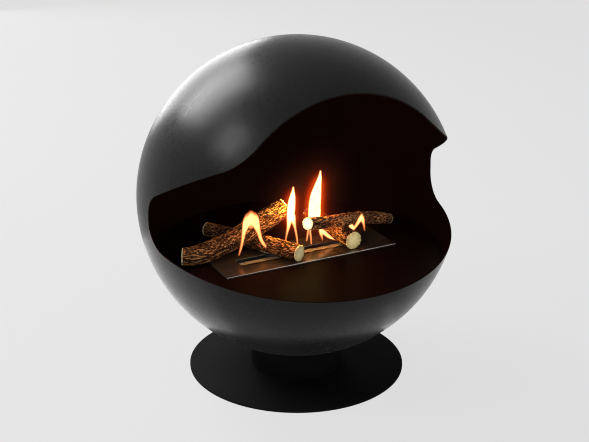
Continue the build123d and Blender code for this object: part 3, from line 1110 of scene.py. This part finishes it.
class LogPile:
    """The four logs as they lie on the burner."""

    logs = (
        CeramicLog(
            "log_back_left",
            "log_a",
            Body.BACK_LEFT_LOG,
            [
                Station(-254.6, 26.0, 22.9, 18.2),
                Station(-235.0, 22.5, 22.1, 20.0),
                Station(-206.1, 19.5, 24.7, 21.0),
                Station(-163.9, 20.0, 35.1, 21.6),
                Station(-124.5, 21.5, 46.8, 22.0),
                Station(-88.9, 22.5, 61.7, 22.2),
                Station(-57.2, 23.0, 74.6, 22.2),
                Station(-16.8, 23.0, 91.7, 21.3),
            ],
            seed=3,
            facing=(-0.89, 0.45, 0.03),
            grooves=(Groove(0.05, -20.0, 150.0, 1.7, 2.6), Groove(0.5, 20.0, 120.0, 0.9, 2.0)),
        ),
        CeramicLog(
            "log_left_floor",
            "log_b",
            Body.LEFT_FLOOR_LOG,
            [
                Station(-144.1, 145.8, 22.0, 15.3),
                Station(-88.0, 45.0, 22.3, 17.6),
                Station(-55.0, -15.0, 22.3, 17.9),
                Station(-30.1, -68.3, 22.1, 17.5),
            ],
            seed=5,
            splinter=Splinter(0.98, 142.0, 176.0, 2.4),
        ),
        CeramicLog(
            "log_front_right",
            "log_c",
            Body.FRONT_RIGHT_LOG,
            [
                Station(-2.2, -50.4, 77.0, 13.3),
                Station(17.9, -54.0, 76.0, 13.6),
                Station(47.1, -49.2, 71.2, 13.8),
                Station(99.7, -28.4, 60.1, 14.3),
                Station(166.9, 7.4, 40.5, 14.3),
                Station(215.0, 22.8, 26.4, 13.4),
                Station(253.7, 39.3, 12.3, 12.0),
            ],
            seed=7,
            facing=(-0.94, -0.27, 0.21),
            painted_glow_end=True,
        ),
        CeramicLog(
            "log_right_floor",
            "log_d",
            Body.RIGHT_FLOOR_LOG,
            [
                Station(93.7, 115.0, 24.0, 18.5),
                Station(98.0, 30.0, 24.4, 19.8),
                Station(103.0, -63.0, 24.0, 19.5),
            ],
            seed=11,
        ),
    )

    def build(self, finishes: Finishes) -> None:
        """Builds every log with the object's finishes."""
        for log in self.logs:
            log.build(finishes)
            LOG.info("log %s", log.name)


class Section(NamedTuple):
    """One height of a tongue: x, lift over the hearth and half width in millimetres, and glow."""

    x: float
    lift: float
    half: float
    glow: float


Tongue = Sequence[Section]


def tongue(*rows: tuple[float, float, float, float]) -> Tongue:
    """Makes a tongue of flame from its sections, foot first."""
    return [Section(*row) for row in rows]


@dataclass
class Flame:
    """One flame, melted together from its tongues, and the haze round it; sizes in millimetres."""

    name: str
    tongues: Sequence[Tongue]
    y: float = -7.5
    haze: float = 0.0
    soft_out: float = 2.2
    soft_width: float = 4.9
    body_out: float = 2.6
    body_voxel: float = 0.7
    haze_out: float = 90.0
    haze_voxel: float = 2.2
    haze_parts: Sequence[tuple[float, float]] = ((0.7, 5.5), (0.08, 18.0), (0.03, 60.0))
    wide_half: float = 8.0
    flatness: float = 0.1
    thinnest: float = 1.0
    around: int = 20
    steps: int = 8
    cap_turns: Sequence[float] = (30.0, 60.0)

    def smooth(self, given: Tongue) -> Tongue:
        """Closely spaced sections of one tongue."""
        course = [Vector(s) for s in given]
        ends = [course[0] * 2 - course[1], *course, course[-1] * 2 - course[-2]]
        rows = []
        for n in range(len(course) - 1):
            rows += [spline(*ends[n : n + 4], k / self.steps) for k in range(self.steps)]
        return tongue(*rows, course[-1])

    def ring(self, mesh: Mesh, x: float, height: float, wide: float, least: float) -> Ring:
        """Adds one level ring of points with its half width and least half depth."""
        row = []
        for k in range(self.around):
            angle = math.tau * k / self.around
            deep = max(wide * self.flatness, least) * math.sin(angle)
            row.append(mesh.verts.new(Vector((x + wide * math.cos(angle), self.y + deep, height)) * MM))
        return row

    def loft(self, given: Tongue, mesh: Mesh, grow: float) -> None:
        """Lofts one tongue with a dome at each end.

        Args:
            given: the tongue.
            mesh: where it goes.
            grow: what is added to its half width.
        """
        rows = []
        for part in self.smooth(given):
            rows.append(self.ring(mesh, part.x, HEARTH_TOP + part.lift, part.half + grow, self.thinnest))
        for lower, upper in zip(rows[:-1], rows[1:]):
            join(mesh, lower, upper)
        for row, end, way in ((rows[0], given[0], -1.0), (rows[-1], given[-1], 1.0)):
            rings = [row]
            for turn in self.cap_turns:
                flat = math.cos(math.radians(turn))
                rise = way * (end.half + grow) * math.sin(math.radians(turn))
                height = HEARTH_TOP + end.lift + rise
                rings.append(self.ring(mesh, end.x, height, (end.half + grow) * flat, self.thinnest * flat))
            for lower, upper in zip(rings[:-1], rings[1:]):
                join(mesh, *((lower, upper) if way > 0 else (upper, lower)))
            mesh.faces.new(rings[-1] if way > 0 else list(reversed(rings[-1])))

    def skin(self, suffix: str, grow: float, voxel: float, material: bpy.types.Material) -> bpy.types.Object:
        """Builds one closed skin of the flame.

        Args:
            suffix: end of the piece's name.
            grow: how far it stands outside the flame's outline.
            voxel: size of its mesh.
            material: its finish.

        Returns:
            The skin.
        """
        mesh = bmesh.new()
        for given in self.tongues:
            self.loft(given, mesh, grow)
        bpy.ops.object.select_all(action="DESELECT")
        bpy.ops.mesh.primitive_uv_sphere_add(radius=0.01)
        skin = bpy.context.object
        skin.name = f"{self.name}{suffix}"
        skin.data.name = skin.name
        mesh.to_mesh(skin.data)
        mesh.free()
        modify(skin, "REMESH", mode="VOXEL", voxel_size=voxel * MM, use_smooth_shade=True)
        modify(skin, "SMOOTH", factor=0.5, iterations=3)
        Finishes.give(skin, material)
        skin.visible_shadow = False
        skin.visible_diffuse = False
        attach(skin, Body.BURNER.value)
        return skin

    def shine(self, skin: bpy.types.Object, measure: Callable[[float, float, float], float]) -> None:
        """Stores how much each point glows, by how far it lies from the flame's outline.

        Args:
            skin: the skin.
            measure: turns millimetres inside the outline, half width and glow there into the stored value.
        """
        glow = skin.data.attributes.new("glow", "FLOAT", "POINT")
        sections = [s for given in self.tongues for s in self.smooth(given)]
        for n, vert in enumerate(skin.data.vertices):
            x, lift = vert.co.x / MM, vert.co.z / MM - HEARTH_TOP
            best = max(measure(s.half - math.hypot(s.x - x, s.lift - lift), s.half, s.glow) for s in sections)
            glow.data[n].value = max(0.0, min(1.0, best))

    def build(self, finishes: Finishes) -> None:
        """Builds the flame and its haze.

        Args:
            finishes: the object's finishes.
        """
        body = self.skin("", self.body_out, self.body_voxel, finishes.flame)
        self.shine(body, self.body_glow)
        if self.haze > 0.0:
            haze = self.skin("_haze", self.haze_out, self.haze_voxel, finishes.haze)
            self.shine(haze, self.haze_glow)
            haze.visible_glossy = False
        LOG.info("flame %s", self.name)

    def body_glow(self, inside: float, half: float, glow: float) -> float:
        """Glow of the flame itself, full a few millimetres inside its outline."""
        depth = min(self.soft_width, self.soft_out + half)
        share = max(0.0, min(1.0, (inside + self.soft_out) / depth))
        return glow * share * share * (3.0 - 2.0 * share)

    def haze_glow(self, inside: float, half: float, glow: float) -> float:
        """Cover of the haze, fading outwards to nothing at its reach and weaker round thin tongues."""
        out = max(0.0, -inside)
        thin = min(1.0, (half / self.wide_half) ** 1.4)
        fade = max(0.0, 1.0 - out / self.haze_out) * self.haze * glow * thin
        light = fade * sum(weight * math.exp(-out / reach) for weight, reach in self.haze_parts)
        return 1.0 - math.sqrt(1.0 - light)


class Fire:
    """All flames that rise from the burner's slot."""

    flames = (
        Flame(
            "flame_left",
            [
                tongue(
                    (-140.3, 17.5, 1.1, 0.25), (-138, 25, 1.8, 0.35), (-135.5, 33, 2.6, 0.42),
                    (-131.8, 49, 3.4, 0.45), (-129, 64, 4.8, 0.48), (-125.5, 76, 7.0, 0.53),
                    (-121.5, 88, 9.4, 0.56), (-118.5, 99, 8.5, 0.25),
                ),
                tongue(
                    (-112.5, 66, 3, 0.03), (-112, 73, 6, 0.12), (-111.5, 80, 8.5, 0.3),
                    (-111.5, 87, 10, 0.48), (-111.5, 92, 10.5, 0.56), (-112, 98, 9.5, 0.4),
                    (-112.5, 104, 8.5, 0.14),
                ),
                tongue(
                    (-73.5, 19.5, 1.1, 0.25), (-77.5, 24, 2.4, 0.38), (-83, 31, 3.4, 0.45),
                    (-89, 42, 3.9, 0.48), (-93.2, 56, 4.6, 0.47), (-97.2, 69, 6.4, 0.5),
                    (-100.8, 80, 8.6, 0.54), (-103.5, 90, 9.4, 0.5), (-106, 99, 8.5, 0.2),
                ),
            ],
        ),
        Flame(
            "flame_middle",
            [
                tongue(
                    (-31.1, 30.5, 1.0, 0.32), (-28, 45.8, 2.4, 0.45), (-24, 62, 4.4, 0.6),
                    (-19.6, 87, 9.0, 1), (-17.6, 109.1, 9.0, 1), (-15.3, 126.5, 6.0, 1),
                    (-13.5, 145.1, 0.9, 0.8),
                ),
                tongue(
                    (-2.6, 16.5, 0.9, 0.38), (-4.6, 32, 1.5, 0.45), (-7.8, 49, 2.2, 0.5),
                    (-11.5, 66, 4.4, 0.65), (-16.4, 80, 8.0, 1),
                ),
            ],
            haze=0.8,
        ),
        Flame(
            "flame_tall",
            [
                tongue(
                    (34, 60, 6.5, 0.9), (37.3, 71.2, 14.2, 1), (37.7, 94.9, 14.6, 1),
                    (40.1, 117.1, 13.1, 1), (44.9, 138.7, 8.6, 1), (49, 155.8, 4.5, 1),
                    (50.9, 170.6, 0.6, 0.8),
                ),
                tongue(
                    (19.2, 20, 0.9, 0.36), (21.7, 34.3, 1.5, 0.46), (24.4, 52, 2.4, 0.5),
                    (31, 64, 4, 0.7),
                ),
                tongue(
                    (30.8, 10.5, 0.9, 0.36), (29, 28.4, 1.5, 0.46), (27.9, 42.3, 1.9, 0.5),
                    (33, 60, 4, 0.7),
                ),
            ],
            haze=1.0,
        ),
        Flame(
            "flame_low",
            [
                tongue(
                    (58.2, 12.6, 0.9, 0.2), (56.4, 21, 2.4, 0.35), (54.5, 30.8, 4.4, 0.5),
                    (53.2, 37.4, 4.6, 0.6),
                ),
                tongue(
                    (90.5, 8.9, 1.8, 0.38), (79.5, 14.5, 3.4, 0.5), (69.1, 23.3, 4.4, 0.55),
                    (60.3, 32, 4.6, 0.6), (54.2, 37, 4.2, 0.55),
                ),
            ],
            haze=0.25,
        ),
        Flame(
            "flame_right",
            [
                tongue(
                    (120.2, 35.8, 3.6, 0.5), (117, 41, 4.8, 0.58), (112.9, 47.5, 4.6, 0.55),
                    (110.6, 54, 2.2, 0.45),
                ),
                tongue(
                    (120.6, 36, 3.4, 0.5), (126.2, 41, 3.8, 0.5), (132.2, 49, 4.4, 0.52),
                    (137.6, 56.5, 5.2, 0.6), (140.7, 65, 2.2, 0.5),
                ),
                tongue(
                    (148.9, 28.1, 1.0, 0.25), (146.4, 42.4, 2.6, 0.42), (143, 54.4, 4.4, 0.55),
                    (140.7, 65, 2.2, 0.5),
                ),
            ],
            y=-30.0,
            haze=0.2,
        ),
    )

    def build(self, finishes: Finishes) -> None:
        """Builds every flame with the object's finishes."""
        for flame in self.flames:
            flame.build(finishes)


def main() -> None:
    """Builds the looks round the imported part."""
    logging.basicConfig(level=logging.INFO, format="%(name)s: %(message)s")
    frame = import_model()
    PhotoCamera().build()
    Studio().build()
    finishes = Finishes()
    finishes.dress(frame["nodes"])
    LOG.info("finishes on %d nodes", len(frame["nodes"]))
    BurnerPlate().build(finishes)
    LogPile().build(finishes)
    Fire().build(finishes)


if __name__ == "__main__":
    main()
